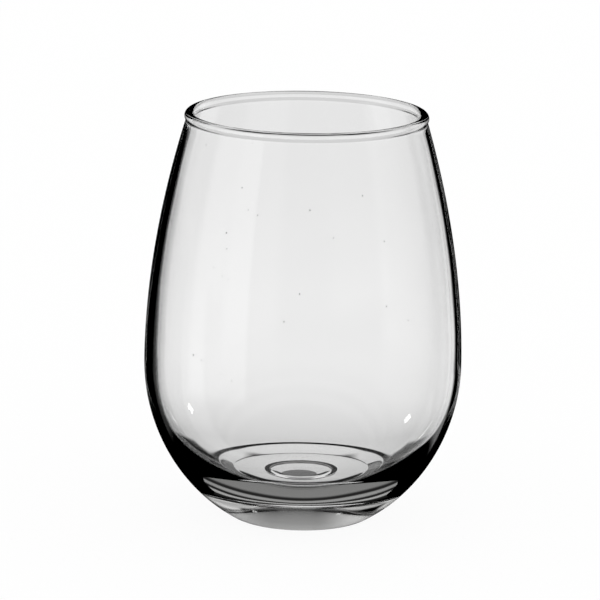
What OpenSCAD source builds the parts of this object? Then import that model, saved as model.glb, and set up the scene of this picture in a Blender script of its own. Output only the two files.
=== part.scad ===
// Stemless wine glass. It is one piece of blown glass, modelled as the zones that a
// glassmaker names, stacked face to face: base, heel, bowl and rim bead.
// Millimetres, +Z up, origin on the table under the middle of the glass.

/* [Outline] */
// Height from the table to the top of the rim
glass_h = 116; // [100:0.5:135]
// Largest outside diameter, at the belly
belly_d = 90; // [80:0.5:104]
// Height of the belly above the table
belly_z = 44; // [38:0.5:54]

/* [Rim] */
// Outside diameter of the bead along the rim
rim_d = 68.5; // [60:0.5:76]
// Thickness of the bead
bead_d = 2.8; // [2.2:0.1:4]
// Wall just under the bead
rim_wall = 1.9; // [1.4:0.1:2.1]

/* [Bowl] */
// Wall at the belly
belly_wall = 2.7; // [1.5:0.1:3]

/* [Base] */
// Outside diameter of the ring that the glass stands on
foot_d = 41; // [34:0.5:48]
// Diameter of the hollow pushed up into the underside
push_up_d = 21.4; // [16:0.2:30]
// Height of that hollow, at its middle
push_up_h = 2; // [0.5:0.1:4]
// Height of the flat inner floor above the table
floor_z = 11.2; // [8:0.1:12.5]
// Height of the base zone
base_h = 15; // [13:0.5:20]
// Height of the top of the heel zone
heel_top_z = 30; // [24:0.5:36]

/* [Hidden] */
clear_glass = [0.87, 0.89, 0.88];
$fn = 180;
// Points along each curved stretch of the outline
curve_steps = 40;

// How full each curve is: 2 is an ellipse or a parabola, and more is squarer
heel_power = 1.96;
side_power = 1.88;
corner_power = 2.4;
// How long the inside keeps to the outside before it turns in to the floor
follow_power = 4.2;
// Where the inside curve would meet the axis, as a share of the height of the floor
curve_end_share = 0.27;

// Rim bead, cut off level where it is as wide as the wall
bead_r = bead_d / 2;
bead_mid_r = rim_d / 2 - bead_r;
bead_mid_z = glass_h - bead_r;
seat_z = bead_mid_z - sqrt(pow(bead_r, 2) - pow(rim_wall / 2, 2));
neck_r = bead_mid_r + rim_wall / 2;

// Lower outlines. The outside is an oval that starts upright at the belly and runs to the
// edge of the foot. The inside keeps a wall's thickness from it and then turns in to the floor.
belly_r = belly_d / 2;
foot_r = foot_d / 2;
outer_drop = belly_z / pow(1 - pow(foot_r / belly_r, heel_power), 1 / heel_power);
inner_drop = belly_z - floor_z * curve_end_share;

// Push-up: a shallow round cap inside the foot ring
push_up_r = push_up_d / 2;
cap_r = (pow(push_up_r, 2) + pow(push_up_h, 2)) / (2 * push_up_h);
cap_angle = asin(push_up_r / cap_r);

steps = [0 : curve_steps];
function mix(from, to, step) = from + (to - from) * step / curve_steps;

// Points of the outside below the belly, between two heights
function oval_angle(z) = asin(pow((belly_z - z) / outer_drop, heel_power / 2));
function oval_point(angle) = [belly_r * pow(cos(angle), 2 / heel_power),
    belly_z - outer_drop * pow(sin(angle), 2 / heel_power)];
function outer_oval(from_z, to_z) =
    let(from = oval_angle(from_z), to = oval_angle(to_z))
    [for (i = steps) oval_point(mix(from, to, i))];

// Points of the inside below the belly, between two heights
function oval_r(z) = belly_r * pow(1 - pow((belly_z - z) / outer_drop, heel_power), 1 / heel_power);
function turn_in_share(z) = pow(1 - pow((belly_z - z) / inner_drop, follow_power), 1 / corner_power);
function inner_curve(from_z, to_z) = [for (i = steps) let(z = mix(from_z, to_z, i))
    [(oval_r(z) - belly_wall) * turn_in_share(z), z]];

// Points of the side above the belly: the outside, and the inside one wall further in
function side_share(z) = (z - belly_z) / (seat_z - belly_z);
function outer_side_r(z) = belly_r - (belly_r - neck_r) * pow(side_share(z), side_power);
function wall(z) = belly_wall + (rim_wall - belly_wall) * side_share(z);
function outer_side(from_z, to_z) =
    [for (i = steps) let(z = mix(from_z, to_z, i)) [outer_side_r(z), z]];
function inner_side(from_z, to_z) =
    [for (i = steps) let(z = mix(from_z, to_z, i)) [outer_side_r(z) - wall(z), z]];

// Points of the push-up, from its middle out to the foot ring
push_up = [for (i = steps) let(angle = mix(0, cap_angle, i))
    [cap_r * sin(angle), push_up_h - cap_r * (1 - cos(angle))]];

function without_first(points) = [for (i = [1 : len(points) - 1]) points[i]];

module rim_bead() {
    color(clear_glass) rotate_extrude() intersection() {
        translate([bead_mid_r, bead_mid_z]) circle(bead_r);
        translate([bead_mid_r - bead_d, seat_z]) square([2 * bead_d, bead_d]);
    }
}

module bowl() {
    color(clear_glass) rotate_extrude() polygon(concat(
        outer_oval(heel_top_z, belly_z),
        without_first(outer_side(belly_z, seat_z)),
        inner_side(seat_z, belly_z),
        without_first(inner_curve(belly_z, heel_top_z))));
}

module heel() {
    color(clear_glass) rotate_extrude() polygon(concat(
        outer_oval(base_h, heel_top_z),
        inner_curve(heel_top_z, base_h)));
}

module base() {
    color(clear_glass) rotate_extrude() polygon(concat(
        inner_curve(base_h, floor_z),
        [[0, floor_z]],
        push_up,
        outer_oval(0, base_h)));
}

rim_bead();
bowl();
heel();
base();
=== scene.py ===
"""Looks of a stemless wine glass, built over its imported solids: one continuous body of clear
blown glass in front of a white background."""

import math

import bmesh
import bpy
import numpy as np
from bpy.props import FloatProperty, FloatVectorProperty, IntProperty, PointerProperty
from mathutils import Matrix, Vector, noise


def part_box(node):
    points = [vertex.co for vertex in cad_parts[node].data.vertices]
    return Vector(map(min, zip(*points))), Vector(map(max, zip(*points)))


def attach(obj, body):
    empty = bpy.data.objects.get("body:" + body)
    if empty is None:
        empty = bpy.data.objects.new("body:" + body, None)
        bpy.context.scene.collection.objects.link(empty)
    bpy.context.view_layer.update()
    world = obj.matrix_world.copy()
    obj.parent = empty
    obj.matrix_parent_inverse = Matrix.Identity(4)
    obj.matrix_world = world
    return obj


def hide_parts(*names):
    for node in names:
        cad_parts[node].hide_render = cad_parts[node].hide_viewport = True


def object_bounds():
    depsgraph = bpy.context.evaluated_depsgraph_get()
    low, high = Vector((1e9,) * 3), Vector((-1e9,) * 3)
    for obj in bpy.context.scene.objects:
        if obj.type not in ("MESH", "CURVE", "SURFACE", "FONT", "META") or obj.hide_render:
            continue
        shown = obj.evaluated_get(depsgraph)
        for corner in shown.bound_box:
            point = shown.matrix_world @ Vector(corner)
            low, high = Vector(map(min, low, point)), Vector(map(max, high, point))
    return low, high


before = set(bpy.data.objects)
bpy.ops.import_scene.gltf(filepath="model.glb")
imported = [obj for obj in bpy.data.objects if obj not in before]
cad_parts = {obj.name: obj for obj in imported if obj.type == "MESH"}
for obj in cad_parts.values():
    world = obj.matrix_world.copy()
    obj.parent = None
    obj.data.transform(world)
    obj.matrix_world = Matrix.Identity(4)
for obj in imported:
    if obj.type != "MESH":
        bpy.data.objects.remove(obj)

bl_info = {
    "name": "Stemless wine glass",
    "version": (1, 0, 0),
    "blender": (4, 5, 0),
    "location": "3D View > Sidebar > Glassware",
    "description": "A clear stemless wine glass and the studio it stands in",
    "category": "Add Mesh",
}

CAD_LOW, CAD_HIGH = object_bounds()
BEAD_LOW, BEAD_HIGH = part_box("rim_bead")
BOWL_LOW, BOWL_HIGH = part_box("bowl")

# Points along each stretch of the section before it is softened and spread
BOWL_POINTS, SIDE_POINTS, BEAD_POINTS, HEEL_POINTS, HOLLOW_POINTS = 1600, 400, 200, 400, 200
# How far the softening reaches, in softnesses
SOFTENING_REACH = 4
# Height under the bead over which the waves on the inside fade out, in metres
WAVE_FADE = 0.006

# Bubbles: chance's starting number, and the range of their heights as shares of the glass's, of
# their depths as shares of the wall, of their sizes as shares of the largest, and of how far
# they are drawn out
BUBBLE_CHANCE = 7
BUBBLE_HEIGHT, BUBBLE_DEPTH = (0.3, 0.9), (0.4, 0.6)
BUBBLE_SHARE, BUBBLE_STRETCH = (0.4, 1.0), (1.0, 1.6)

# Patches of haze and ripple in the glass: how many to a metre, the span of the haze's noise that
# shows, and the height of a ripple in metres
HAZE_SCALE, HAZE_SPAN = 90.0, (0.35, 0.75)
RIPPLE_SCALE, RIPPLE_HEIGHT = 45.0, 0.0001

# The camera's sensor in millimetres, and how far it sees in metres
SENSOR, SIGHT = 36.0, 20.0
# The floor lies a hair below the table's level, and so does the painted shadow under the push-up
FLOOR_RADIUS, FLOOR_SIDES, FLOOR_LEVEL = 4.0, 96, -0.0002
# A glowing grey disc: painted shadow under the push-up, which only the glass sees
PAINTED_SHADOW_RADIUS, PAINTED_SHADOW_SIDES, PAINTED_SHADOW_PLACE = 0.0054, 48, (-0.0005, -0.0018, -0.0004)
PAINTED_SHADOW_BRIGHTNESS = 0.16

# Directions of the light, in degrees: across counts from straight behind the glass towards the
# picture's right, and rise from the horizon up. A window is four angles: where it begins, where
# it is full, where it begins to fade and where it has gone. A step is two: where it begins and
# where it is full.
DEGREES = 180 / math.pi
LIT_SIDE, SECOND_SIDE = (-118, -108, 55, 85), (106, 116, 154, 164)
SECOND_BOUNCED = 0.75
# Middles of the two directions that have the graded background, and how far it reaches
STRAIGHT_BEHIND = (0, 135)
BACKDROP_REACH, BESIDE_BACKDROP = 28, 0.86
# Brightness of the background that shows straight through the bowl, by its rise
BACKDROP = ((-90, 0.1), (-65, 0.15), (-52, 0.73), (-26, 0.6), (-18, 0.82), (-14.4, 0.86),
            (-11.9, 0.8), (-4, 0.84), (20, 0.84), (45, 0.5), (90, 0.2))
# Brightness of what is seen after a bounce inside the glass, by its rise
DIMMED = ((-90, 0.1), (-65, 0.15), (-52, 0.73), (-26, 0.6), (-14, 0.86), (-4, 0.5), (2, 0.38),
          (12, 0.23), (30, 0.12), (50, 0.03), (90, 0.0))
# Brightness of what the thick base mirrors in stripes, by its rise
STRIPES = ((-90, 0.25), (-10, 0.25), (0, 0.22), (13, 0.24), (15, 0.02), (17.5, 0.02),
           (18.5, 0.36), (21, 0.36), (22.3, 0.02), (25, 0.02), (26, 0.5), (29, 0.5),
           (31, 0.02), (90, 0.02))
# Small bright spots that the far wall mirrors: across, rise, half width and brightness
SPOTS = ((57.7, 16.4, 2.6, 20.0), (-58.8, 22.0, 2.6, 20.0), (22.3, -6.5, 1.3, 2.5),
         (-18.5, -7.5, 1.6, 2.5))
# Dark gaps beside the background, the second one by its middle and half width
GAP, SIDE_GAP, GAP_RISE = (-40, -36, -20.5, -17.5), (-68, 6), (-29, -27, -2, 2)
# Dark corners of the base, whose top dips in the middle
CORNER_REACH, CORNER_BOTTOM, CORNER_TOP = 16, (-46, -43), (-30, -28)
CORNER_DIP, CORNER_DIP_REACH = 3.5, 4.5
# Dark edges of the bowl, as light that bounced in the wall sees them
EDGE_START, EDGE_END = (-58, -46), (-8, -4)
WALL_EDGE_START, WALL_EDGE_FULL, WALL_EDGE_LEAST = (-80, -76), (-52, -46), 0.6
RIGHT_EDGE, EDGE_RISE = (8, 12, 28.5, 33.5), (-62, -58, -5, -1)
FAR_LEFT, FAR_RIGHT = (-104, -98), (66, 72)
# What one wall alone takes off, the upper side of the bead and the two ends of the foot
ONE_WALL_LOSS = 0.08
BEAD_BRIGHTNESS, BEAD_RISE = 0.7, (0, 6)
FOOT_BRIGHTNESS, FOOT_RISE = 0.95, (-3, 4)
FOOT_RIGHT, FOOT_LEFT = (-60, -50, -30, -6), (10, 45, 50, 60)
# What the outside of the glass mirrors: a soft box, a panel and a dim wall
SOFT_BOX, SOFT_BOX_RISE = (-141, -137, -95, -85), (-24, -12, 18, 32)
PANEL, PANEL_TOP, PANEL_BRIGHTNESS = (33, 37, 56, 66), (30, 50), 0.7
WALL, WALL_BRIGHTNESS, WALL_FOOT = (-80, -70, -43, -40), 0.15, (-31, -27)


def length(name, description, default):
    return FloatProperty(name=name, description=description, default=default,
                         unit="LENGTH", precision=5, min=0.0)


def factor(name, description, default):
    return FloatProperty(name=name, description=description, default=default, precision=3)


class GlassSizes(bpy.types.PropertyGroup):
    """Sizes of the glass body"""

    height: length("Height", "Table to the top of the rim", CAD_HIGH.z)
    belly_diameter: length("Belly", "Largest outside diameter", BOWL_HIGH.x - BOWL_LOW.x)
    belly_height: length("Belly height", "Table to the belly", 0.044)
    rim_diameter: length("Rim", "Outside diameter of the bead", BEAD_HIGH.x - BEAD_LOW.x)
    bead: length("Bead", "Thickness of the bead along the rim", 0.0028)
    rim_wall: length("Wall at the rim", "Wall just under the bead", 0.0019)
    belly_wall: length("Wall at the belly", "Wall at the belly", 0.0027)
    foot_diameter: length("Foot", "Outside diameter of the standing ring", 0.041)
    foot_width: length("Foot width", "Width of the flat standing ring", 0.0098)
    floor_height: length("Floor height", "Table to the flat inner floor", 0.0112)
    floor_blend: length("Floor blend", "How gently the floor turns up into the wall", 0.0004)
    bowl_bottom: length("Bowl bottom", "Table to where the inner curve would end", 0.00302)
    push_up: length("Push-up", "Height of the hollow under the base", 0.002)
    heel_fullness: factor("Heel fullness", "2 is an ellipse, more is squarer", 1.96)
    floor_fullness: factor("Floor fullness", "How full the inner corner is", 2.4)
    wall_fullness: factor("Inner wall fullness", "How low the wall stays thin", 4.2)
    side_fullness: factor("Side fullness", "How late the side draws in", 1.88)
    push_up_fullness: factor("Push-up fullness", "2 is a parabola, more is flatter", 14.0)
    softness: length("Softness", "How far the heat rounded the edges", 0.00025)
    wave: length("Wave", "Depth of the waves on the inside", 0.00003)
    wave_pitch: length("Wave pitch", "Distance between waves on the inside", 0.014)
    seeds: IntProperty(name="Seeds", description="Tiny bubbles in the wall", default=36, min=0)
    seed: length("Seed size", "Diameter of the largest bubble", 0.0004)
    around: IntProperty(name="Steps around", description="Faces around the glass", default=256,
                        min=24)
    along: IntProperty(name="Steps along", description="Faces along the section", default=350,
                       min=60)


class GlassFinish(bpy.types.PropertyGroup):
    """Finish of the glass"""

    tint: FloatVectorProperty(name="Tint", description="Colour that thick glass takes on",
                              subtype="COLOR", size=3, min=0.0, max=1.0,
                              default=(0.91, 0.91, 0.88))
    tint_density: FloatProperty(name="Tint density", description="How fast thick glass takes it",
                                default=6.0, min=0.0)
    refraction: factor("Refraction", "Index of refraction of soda-lime glass", 1.52)
    haze: factor("Haze", "Roughness of the glass where handling has dulled it most", 0.012)
    ripple: factor("Ripple", "Strength of the faint ripples that the mould left", 0.05)


class StudioSettings(bpy.types.PropertyGroup):
    """Camera, floor and background"""

    distance: length("Camera distance", "Camera to the axis of the glass", 1.0)
    elevation: FloatProperty(name="Elevation", description="Camera above the horizon",
                             default=math.radians(13.67), subtype="ANGLE")
    roll: FloatProperty(name="Roll", description="Camera turned about its own axis",
                        default=math.radians(0.937), subtype="ANGLE")
    look_at: FloatVectorProperty(name="Look at", description="Point that the camera turns about",
                                 default=(0.0, 0.0, 0.057), subtype="TRANSLATION")
    aim: FloatVectorProperty(name="Aim", description="Point in the middle of the picture",
                             default=(-0.00108, 0.0, 0.0618), subtype="TRANSLATION")
    lens: FloatProperty(name="Lens", description="Focal length on a 36 mm sensor",
                        default=211.9, min=1.0)
    shadow: factor("Shadow", "How much of the floor's brightness the glass can shade", 0.06)
    room: factor("Room", "Least brightness of what shows through the glass", 0.12)


class Shade:
    """A value in a node tree that Python's operators work on."""

    def __init__(self, board, socket):
        self.board = board
        self.socket = socket

    def _math(self, operation, *values):
        return self.board.node("ShaderNodeMath", {"operation": operation}, *values)

    def __add__(self, other):
        return self._math("ADD", self, other)

    def __radd__(self, other):
        return self._math("ADD", other, self)

    def __sub__(self, other):
        return self._math("SUBTRACT", self, other)

    def __rsub__(self, other):
        return self._math("SUBTRACT", other, self)

    def __mul__(self, other):
        return self._math("MULTIPLY", self, other)

    def __rmul__(self, other):
        return self._math("MULTIPLY", other, self)

    def __truediv__(self, other):
        return self._math("DIVIDE", self, other)

    def larger(self, other):
        return self._math("MAXIMUM", self, other)

    def ramp(self, low, high):
        """0 below low, 1 above high and smooth between."""
        return self.board.node("ShaderNodeMapRange", {"interpolation_type": "SMOOTHSTEP"},
                               Value=self, **{"From Min": low, "From Max": high})

    def window(self, edges):
        """1 between the inner two of four edges, 0 outside the outer two and smooth between."""
        begin, full, fade, gone = edges
        return self.ramp(begin, full) * (1 - self.ramp(fade, gone))

    def near(self, middle, reach, soft=0.2):
        """1 within reach of the middle, with a soft edge, and 0 elsewhere."""
        off = self._math("ABSOLUTE", self - middle)
        return 1 - off.ramp((1 - soft) * reach, (1 + soft) * reach)

    def graded(self, stops):
        """Follows a line through stops of (value, result)."""
        low, high = stops[0][0], stops[-1][0]
        grade = self.board.node("ShaderNodeValToRGB", None, (self - low) / (high - low))
        elements = grade.socket.node.color_ramp.elements
        for i, (value, result) in enumerate(stops):
            at = (value - low) / (high - low)
            stop = elements[0] if i == 0 else elements[-1] if at == 1 else elements.new(at)
            stop.color = (result, result, result, 1.0)
        return grade


class Board:
    """A node tree to build a shader on."""

    def __init__(self, owner):
        owner.use_nodes = True
        self.tree = owner.node_tree
        self.tree.nodes.clear()

    def node(self, kind, settings=None, *values, out=0, **named):
        """Adds a node, sets it up, fills its sockets and gives one output."""
        made = self.tree.nodes.new(kind)
        for name, value in (settings or {}).items():
            setattr(made, name, value)
        for key, value in [*enumerate(values), *named.items()]:
            socket = made.inputs[key]
            if isinstance(value, Shade):
                self.tree.links.new(value.socket, socket)
            else:
                socket.default_value = value
        return Shade(self, made.outputs[out]) if made.outputs else made


def mix(start, end, share):
    return start + (end - start) * share


class Outline:
    """Half of the section of the glass, in metres: radius against height."""

    def __init__(self, sizes):
        self.sizes = sizes
        self.bead_r = sizes.bead / 2
        self.bead_mid = (sizes.rim_diameter / 2 - self.bead_r, sizes.height - self.bead_r)
        half_wall = sizes.rim_wall / 2
        self.bead_angle = math.asin(half_wall / self.bead_r)
        self.seat = self.bead_mid[1] - math.sqrt(self.bead_r ** 2 - half_wall ** 2)
        self.neck_r = self.bead_mid[0] + half_wall
        self.belly_r = sizes.belly_diameter / 2
        self.foot_r = sizes.foot_diameter / 2
        share = (self.foot_r / self.belly_r) ** sizes.heel_fullness
        self.drop = sizes.belly_height / (1 - share) ** (1 / sizes.heel_fullness)

    def outside(self, z):
        """Outside radius at a height."""
        s = self.sizes
        if z >= s.belly_height:
            share = (min(z, self.seat) - s.belly_height) / (self.seat - s.belly_height)
            return self.belly_r - (self.belly_r - self.neck_r) * share ** s.side_fullness
        fall = ((s.belly_height - max(z, 0.0)) / self.drop) ** s.heel_fullness
        return self.belly_r * (1 - fall) ** (1 / s.heel_fullness)

    def bowl_inside(self):
        """From the middle of the floor up to the belly."""
        s = self.sizes
        z = np.linspace(s.bowl_bottom, s.belly_height, BOWL_POINTS)
        fall = (s.belly_height - z) / (s.belly_height - s.bowl_bottom)
        r = np.array([self.outside(h) for h in z]) - s.belly_wall
        r = r * (1 - fall ** s.wall_fullness) ** (1 / s.floor_fullness)
        lift = s.floor_blend * np.logaddexp(0, (z - s.floor_height) / s.floor_blend)
        return np.stack([r, s.floor_height + lift], 1)

    def side(self):
        """Inside and outside from the belly up to the bead."""
        s = self.sizes
        share = np.linspace(0, 1, SIDE_POINTS)[1:]
        z = mix(s.belly_height, self.seat, share)
        r = self.belly_r - (self.belly_r - self.neck_r) * share ** s.side_fullness
        return np.stack([r - mix(s.belly_wall, s.rim_wall, share), z], 1), np.stack([r, z], 1)

    def bead(self):
        """Over the bead, from the inside to the outside."""
        low = -math.pi / 2
        turn = np.linspace(low - self.bead_angle, low + self.bead_angle - 2 * math.pi, BEAD_POINTS)
        turn = turn[1:-1]
        return np.stack([self.bead_mid[0] + self.bead_r * np.cos(turn),
                         self.bead_mid[1] + self.bead_r * np.sin(turn)], 1)

    def heel(self):
        """Outside from the belly down to the foot."""
        s = self.sizes
        end = math.asin((s.belly_height / self.drop) ** (s.heel_fullness / 2))
        turn = np.linspace(0, end, HEEL_POINTS)
        power = 2 / s.heel_fullness
        return np.stack([self.belly_r * np.cos(turn) ** power,
                         s.belly_height - self.drop * np.sin(turn) ** power], 1)

    def hollow(self):
        """From the inner edge of the foot to the middle of the push-up."""
        s = self.sizes
        share = np.linspace(1, 0, HOLLOW_POINTS)
        return np.stack([(self.foot_r - s.foot_width) * share,
                         s.push_up * (1 - share ** s.push_up_fullness)], 1)

    def points(self):
        """From the middle of the inner floor up the inside, over the bead, down the outside
        and in to the middle of the push-up."""
        side_in, side_out = self.side()
        return np.concatenate([self.bowl_inside(), side_in, self.bead(), side_out[::-1],
                               self.heel(), self.hollow()])


def travelled(points):
    """Distance along a line of points up to each one."""
    return np.concatenate([[0], np.cumsum(np.linalg.norm(np.diff(points, axis=0), axis=1))])


def resampled(points, at):
    """Points at the given distances along a line of points."""
    way = travelled(points)
    return np.stack([np.interp(at, way, points[:, 0]), np.interp(at, way, points[:, 1])], 1)


def softened(points, softness, step=0.00005):
    """Rounds the corners of a section that starts and ends on the axis."""
    even = resampled(points, np.arange(0, travelled(points)[-1], step))
    pad = int(SOFTENING_REACH * softness / step) + 1
    mirror = np.array([-1, 1])
    wide = np.concatenate([even[pad:0:-1] * mirror, even, even[-2:-pad - 2:-1] * mirror])
    reach = np.arange(-pad, pad + 1) * step
    weight = np.exp(-(reach / softness) ** 2 / 2)
    weight /= weight.sum()
    soft = np.stack([np.convolve(wide[:, i], weight, "valid") for i in (0, 1)], 1)
    soft[0, 0] = soft[-1, 0] = 0.0
    return soft


def spread(points, count, turn_weight=0.012):
    """A given number of points along a section, closer together where it turns."""
    heading = np.unwrap(np.arctan2(*np.gradient(points, axis=0).T[::-1]))
    turning = np.concatenate([[0], np.abs(np.diff(heading))])
    cost = travelled(points) + turn_weight / math.pi * np.cumsum(turning)
    way = np.interp(np.linspace(0, cost[-1], count), cost, travelled(points))
    return resampled(points, way)


def waved(section, sizes, seat):
    """The section turned about the axis, with faint waves on the inside: rows of points."""
    angle = np.linspace(0, 2 * math.pi, sizes.around, endpoint=False)
    heading = np.gradient(section, axis=0)
    normal = np.stack([-heading[:, 1], heading[:, 0]], 1)
    normal /= np.linalg.norm(normal, axis=1)[:, None]
    top = int(np.argmax(section[:, 1]))
    rows = []
    for i, (r, z) in enumerate(section):
        ring = np.stack([r * np.sin(angle), -r * np.cos(angle), np.full_like(angle, z)], 1)
        fade = min(1.0, max(0.0, (seat - z) / WAVE_FADE)) if i < top else 0.0
        if fade and sizes.wave:
            depth = np.array([noise.noise(Vector(p) / sizes.wave_pitch) for p in ring])
            push = fade * sizes.wave * depth
            ring[:, 0] += push * normal[i, 0] * np.sin(angle)
            ring[:, 1] -= push * normal[i, 0] * np.cos(angle)
            ring[:, 2] += push * normal[i, 1]
        rows.append(ring)
    return rows


def turned_mesh(name, rows):
    """A closed mesh from rings of points whose first and last rows are single points."""
    count = len(rows[0])
    inner = np.concatenate(rows[1:-1])
    points = [tuple(rows[0][0]), *map(tuple, inner), tuple(rows[-1][0])]
    here = np.arange(count)
    after = np.roll(here, -1)
    faces = [(0, 1 + a, 1 + b) for a, b in zip(after, here)]
    for i in range(len(rows) - 3):
        low = 1 + i * count
        high = low + count
        faces += [(low + a, low + b, high + b, high + a) for a, b in zip(here, after)]
    last = len(points) - 1
    low = last - count
    faces += [(last, low + a, low + b) for a, b in zip(here, after)]
    mesh = bpy.data.meshes.new(name)
    mesh.from_pydata(points, [], [tuple(int(v) for v in face) for face in faces])
    return mesh


def add_seeds(bm, outline, sizes):
    """Tiny bubbles, drawn out along the wall, as hollows inside the glass."""
    chance = np.random.default_rng(BUBBLE_CHANCE)
    for _ in range(sizes.seeds):
        z = chance.uniform(*BUBBLE_HEIGHT) * sizes.height
        angle = chance.uniform(0, 2 * math.pi)
        r = outline.outside(z) - chance.uniform(*BUBBLE_DEPTH) * sizes.belly_wall
        size = sizes.seed / 2 * chance.uniform(*BUBBLE_SHARE)
        place = Matrix.Translation((r * math.sin(angle), -r * math.cos(angle), z))
        shape = Matrix.Diagonal((1, 1, chance.uniform(*BUBBLE_STRETCH), 1))
        ball = bmesh.ops.create_icosphere(bm, subdivisions=2, radius=size, matrix=place @ shape)
        faces = {face for vert in ball["verts"] for face in vert.link_faces}
        bmesh.ops.reverse_faces(bm, faces=list(faces))


def clear_glass(finish):
    """Clear soda-lime glass."""
    material = bpy.data.materials.new("clear_glass")
    board = Board(material)
    place = board.node("ShaderNodeTexCoord", out="Object")
    haze = board.node("ShaderNodeTexNoise", None, place, Scale=HAZE_SCALE, Detail=4.0)
    ripple = board.node("ShaderNodeTexNoise", None, place, Scale=RIPPLE_SCALE, Detail=1.0)
    uneven = board.node("ShaderNodeBump", None, Strength=finish.ripple, Distance=RIPPLE_HEIGHT,
                        Height=ripple)
    board.node("ShaderNodeOutputMaterial", None,
               Surface=board.node("ShaderNodeBsdfPrincipled", None, **{
                   "Base Color": (1.0, 1.0, 1.0, 1.0),
                   "Roughness": finish.haze * haze.ramp(*HAZE_SPAN), "IOR": finish.refraction,
                   "Transmission Weight": 1.0, "Normal": uneven}),
               Volume=board.node("ShaderNodeVolumeAbsorption", None,
                                 Color=(*finish.tint, 1.0), Density=finish.tint_density))
    return material


class GLASSWARE_OT_glass(bpy.types.Operator):
    """Blow the glass body in place of its solids"""

    bl_idname = "glassware.glass"
    bl_label = "Glass body"

    def execute(self, context):
        sizes = context.scene.glass_sizes
        outline = Outline(sizes)
        section = spread(softened(outline.points(), sizes.softness), sizes.along)
        section[0, 0] = section[-1, 0] = 0.0
        mesh = turned_mesh("glass_body", waved(section, sizes, outline.seat))
        bm = bmesh.new()
        bm.from_mesh(mesh)
        bmesh.ops.recalc_face_normals(bm, faces=bm.faces)
        add_seeds(bm, outline, sizes)
        if any(not edge.is_manifold for edge in bm.edges):
            raise RuntimeError("the glass body isn't closed")
        bm.to_mesh(mesh)
        bm.free()
        mesh.shade_smooth()
        mesh.materials.append(clear_glass(context.scene.glass_finish))
        glass = bpy.data.objects.new("glass_body", mesh)
        context.scene.collection.objects.link(glass)
        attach(glass, "root")
        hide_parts("rim_bead", "bowl", "heel", "base")
        return {"FINISHED"}


def add_camera(studio):
    """Puts the camera where the glass shows as photographed."""
    e = studio.elevation
    back = Vector((0.0, -math.cos(e), math.sin(e)))
    data = bpy.data.cameras.new("camera")
    data.lens = studio.lens
    data.sensor_width = SENSOR
    data.clip_end = SIGHT
    camera = bpy.data.objects.new("camera", data)
    camera.location = Vector(studio.look_at) + studio.distance * back
    to_aim = Vector(studio.aim) - camera.location
    turn = to_aim.to_track_quat("-Z", "Y").to_matrix() @ Matrix.Rotation(studio.roll, 3, "Z")
    camera.rotation_euler = turn.to_euler()
    bpy.context.scene.collection.objects.link(camera)
    bpy.context.scene.camera = camera


def level_disc(name, material, radius, sides):
    """A flat disc with one material."""
    mesh = bpy.data.meshes.new(name)
    bm = bmesh.new()
    bmesh.ops.create_circle(bm, cap_ends=True, segments=sides, radius=radius)
    bm.to_mesh(mesh)
    bm.free()
    mesh.materials.append(material)
    disc = bpy.data.objects.new(name, mesh)
    bpy.context.scene.collection.objects.link(disc)
    return disc


def painted_shadow_glow(name, brightness):
    """An even grey glow that stands in for shadow: painted shade that no light changes."""
    material = bpy.data.materials.new(name)
    board = Board(material)
    board.node("ShaderNodeOutputMaterial", None,
               Surface=board.node("ShaderNodeEmission", None, Strength=brightness))
    return material


def white_floor(shadow):
    """White paper that stays white to the camera and keeps part of the glass's shadow."""
    material = bpy.data.materials.new("white_floor")
    board = Board(material)
    lit = board.node("ShaderNodeBsdfDiffuse", None, Color=(shadow, shadow, shadow, 1.0))
    seen = board.node("ShaderNodeLightPath", out="Is Camera Ray")
    glow = board.node("ShaderNodeEmission", None, Strength=seen * (1 - shadow))
    board.node("ShaderNodeOutputMaterial", None,
               Surface=board.node("ShaderNodeAddShader", None, lit, glow))
    return material


class Rays:
    """What the world knows of a ray: its direction in degrees, and how often it met the glass."""

    def __init__(self, board):
        way = board.node("ShaderNodeTexCoord", out="Generated")
        split = board.node("ShaderNodeSeparateXYZ", None, way)
        x, y, z = (Shade(board, socket) for socket in split.socket.node.outputs)
        self.across = board.node("ShaderNodeMath", {"operation": "ARCTAN2"}, x, y) * DEGREES
        self.rise = board.node("ShaderNodeMath", {"operation": "ARCSINE"}, z) * DEGREES
        path = board.node("ShaderNodeLightPath").socket.node.outputs
        self.passed = Shade(board, path["Is Transmission Ray"])
        self.plain = Shade(board, path["Is Camera Ray"]).larger(
            Shade(board, path["Is Diffuse Ray"]))
        # The background itself counts as one more meeting
        meetings = Shade(board, path["Ray Depth"]) - 1
        self.bounced = board.node("ShaderNodeMath", {"operation": "MODULO"}, meetings, 2.0)
        self.one_wall = 1 - meetings.ramp(2, 3)
        self.one_bounce = self.bounced * (1 - meetings.ramp(3, 4))
        self.in_base = meetings.ramp(5, 6)
        self.far_wall = meetings.ramp(4, 5) * (1 - self.in_base)

    def straight_behind(self, reach):
        """1 within reach of the directions that have the graded background."""
        first, second = (self.across.near(middle, reach) for middle in STRAIGHT_BEHIND)
        return first.larger(second)


def bright_parts(rays, room):
    """Brightness of what shows through the glass, before the dark parts are taken off."""
    second = mix(1, SECOND_BOUNCED, rays.bounced) * rays.across.window(SECOND_SIDE)
    backdrop = mix(BESIDE_BACKDROP, rays.rise.graded(BACKDROP),
                   rays.straight_behind(BACKDROP_REACH))
    view = mix(backdrop, rays.rise.graded(DIMMED), rays.bounced)
    return rays.across.window(LIT_SIDE).larger(second) * view + room


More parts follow.
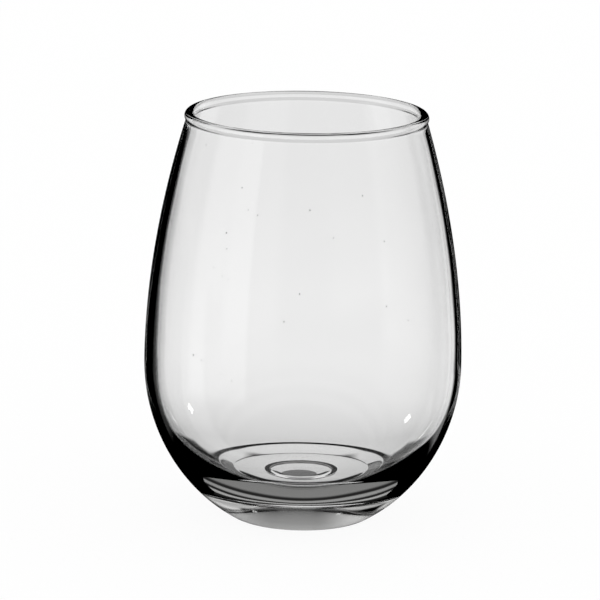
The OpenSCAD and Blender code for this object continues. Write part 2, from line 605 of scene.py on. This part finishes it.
def dark_parts(rays):
    """1 where the gaps, the corners of the base or the edges of the bowl are dark."""
    across, rise = rays.across, rays.rise
    gaps = across.window(GAP).larger(across.near(*SIDE_GAP)) * rise.window(GAP_RISE)
    dipped = rise + CORNER_DIP * rays.straight_behind(CORNER_DIP_REACH)
    corners = ((1 - rays.one_wall) * rays.straight_behind(CORNER_REACH)
               * rise.ramp(*CORNER_BOTTOM) * (1 - dipped.ramp(*CORNER_TOP)))
    wall_edge = across.ramp(*WALL_EDGE_START) * mix(WALL_EDGE_LEAST, 1,
                                                    across.ramp(*WALL_EDGE_FULL))
    edges = mix(across.ramp(*EDGE_START), wall_edge, rays.one_bounce)
    edges = edges * (1 - across.ramp(*EDGE_END)) + across.window(RIGHT_EDGE)
    far_sides = (1 - across.ramp(*FAR_LEFT)) + across.ramp(*FAR_RIGHT)
    edges = (edges + rays.one_bounce * far_sides) * rise.window(EDGE_RISE)
    return mix(gaps.larger(corners), edges, rays.bounced)


def seen_through(rays, room):
    """Brightness of what shows through the glass."""
    across, rise = rays.across, rays.rise
    seen = bright_parts(rays, room) * (1 - dark_parts(rays)) * (1 - ONE_WALL_LOSS * rays.one_wall)
    seen = mix(seen, BEAD_BRIGHTNESS, rays.one_wall * rise.ramp(*BEAD_RISE))
    foot_ends = across.window(FOOT_RIGHT) + across.window(FOOT_LEFT)
    seen = mix(seen, FOOT_BRIGHTNESS, rays.one_bounce * rise.ramp(*FOOT_RISE) * foot_ends)
    seen = mix(seen, rise.graded(STRIPES), rays.in_base)
    for side, height, reach, brightness in SPOTS:
        spot = across.near(side, reach) * rise.near(height, reach)
        seen = seen + brightness * rays.far_wall * spot
    return seen


def mirrored(rays):
    """Brightness of what the outside of the glass mirrors."""
    across, rise = rays.across, rays.rise
    soft_box = across.window(SOFT_BOX) * rise.window(SOFT_BOX_RISE)
    panel = across.window(PANEL) * (1 - rise.ramp(*PANEL_TOP))
    room = PANEL_BRIGHTNESS * panel + WALL_BRIGHTNESS * across.window(WALL)
    return soft_box + room * rise.ramp(*WALL_FOOT)


def light_world(studio):
    """White to the camera and the floor, and to the glass a light that is tuned by direction and
    by how often it met the glass."""
    world = bpy.data.worlds.new("studio")
    bpy.context.scene.world = world
    board = Board(world)
    rays = Rays(board)
    in_glass = mix(mirrored(rays), seen_through(rays, studio.room), rays.passed)
    strength = rays.plain + (1 - rays.plain) * in_glass
    board.node("ShaderNodeOutputWorld", None,
               Surface=board.node("ShaderNodeBackground", None, Color=(1.0, 1.0, 1.0, 1.0),
                                  Strength=strength))


class GLASSWARE_OT_studio(bpy.types.Operator):
    """Set up the camera, the light, the white floor and the grey painted shadow that the glass
    sees
    """

    bl_idname = "glassware.studio"
    bl_label = "Studio"

    def execute(self, context):
        scene = context.scene
        studio = scene.studio
        scene.view_settings.view_transform = "Standard"
        add_camera(studio)
        light_world(studio)
        floor = level_disc("floor", white_floor(studio.shadow), FLOOR_RADIUS, FLOOR_SIDES)
        floor.location.z = FLOOR_LEVEL
        floor.visible_transmission = floor.visible_glossy = False
        # A grey glowing disc under the push-up, seen only through the glass: painted shadow
        shade = level_disc("painted_shadow_under_base", painted_shadow_glow("painted_shadow_under_base", PAINTED_SHADOW_BRIGHTNESS),
                           PAINTED_SHADOW_RADIUS, PAINTED_SHADOW_SIDES)
        shade.location = PAINTED_SHADOW_PLACE
        shade.visible_camera = shade.visible_diffuse = shade.visible_shadow = False
        return {"FINISHED"}


class GLASSWARE_PT_panel(bpy.types.Panel):
    """Sizes, finish and steps of the glass"""

    bl_idname = "GLASSWARE_PT_panel"
    bl_label = "Stemless wine glass"
    bl_space_type = "VIEW_3D"
    bl_region_type = "UI"
    bl_category = "Glassware"

    def draw(self, context):
        scene = context.scene
        for group in (scene.glass_sizes, scene.glass_finish, scene.studio):
            box = self.layout.box()
            for name in group.__annotations__:
                box.prop(group, name)
        for step in STEPS:
            self.layout.operator(step.bl_idname)


STEPS = (GLASSWARE_OT_studio, GLASSWARE_OT_glass)
CLASSES = (GlassSizes, GlassFinish, StudioSettings, *STEPS, GLASSWARE_PT_panel)


def register():
    for made in CLASSES:
        bpy.utils.register_class(made)
    bpy.types.Scene.glass_sizes = PointerProperty(type=GlassSizes)
    bpy.types.Scene.glass_finish = PointerProperty(type=GlassFinish)
    bpy.types.Scene.studio = PointerProperty(type=StudioSettings)


def unregister():
    del bpy.types.Scene.studio
    del bpy.types.Scene.glass_finish
    del bpy.types.Scene.glass_sizes
    for made in reversed(CLASSES):
        bpy.utils.unregister_class(made)


def main():
    """Builds the glass in its studio."""
    register()
    bpy.ops.glassware.studio()
    bpy.ops.glassware.glass()


if __name__ == "__main__":
    main()
